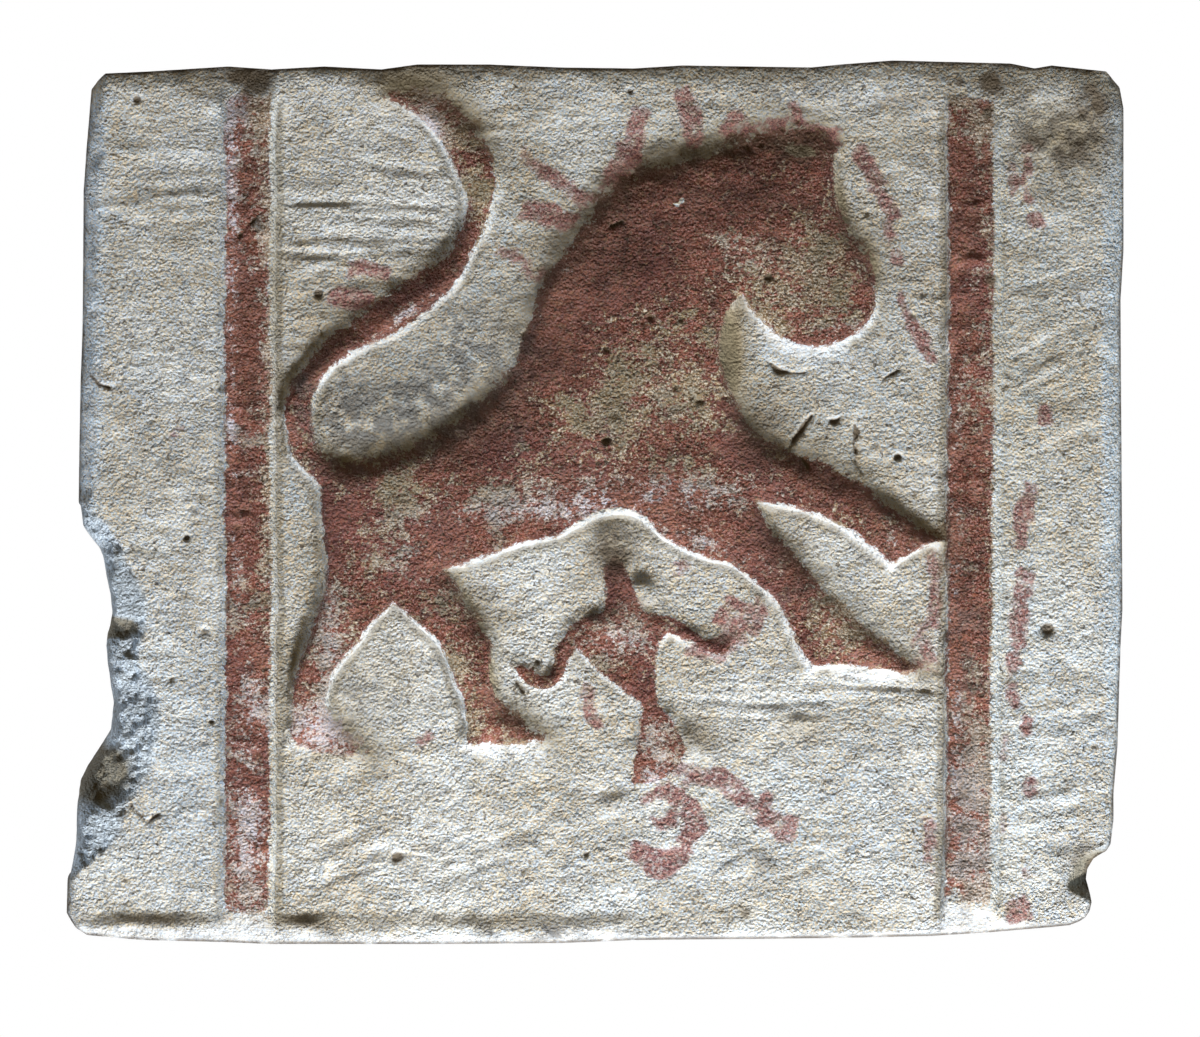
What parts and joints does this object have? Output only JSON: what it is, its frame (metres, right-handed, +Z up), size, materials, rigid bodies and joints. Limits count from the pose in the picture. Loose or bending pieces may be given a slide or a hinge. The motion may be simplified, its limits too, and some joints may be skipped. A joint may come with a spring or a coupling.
{
  "type": "ceramic relief plaque",
  "caption": "Thick fired clay wall plaque with a striding animal in raised relief between upright bands, its edges worn and broken.",
  "frame": {"origin": "middle of the flat back, halfway between the plaque's sides and halfway up", "axes": "+Z up, +Y out of the back into the wall, +X to the right of someone looking at the face"},
  "size_m": [0.4, 0.0535, 0.334],
  "materials": {
    "fired_clay": "matt fired clay under a pale cream slip, the relief painted dull red and much worn"
  },
  "bodies": {
    "root": {"relief_plaque": "fired_clay"}
  },
  "joints": []
}
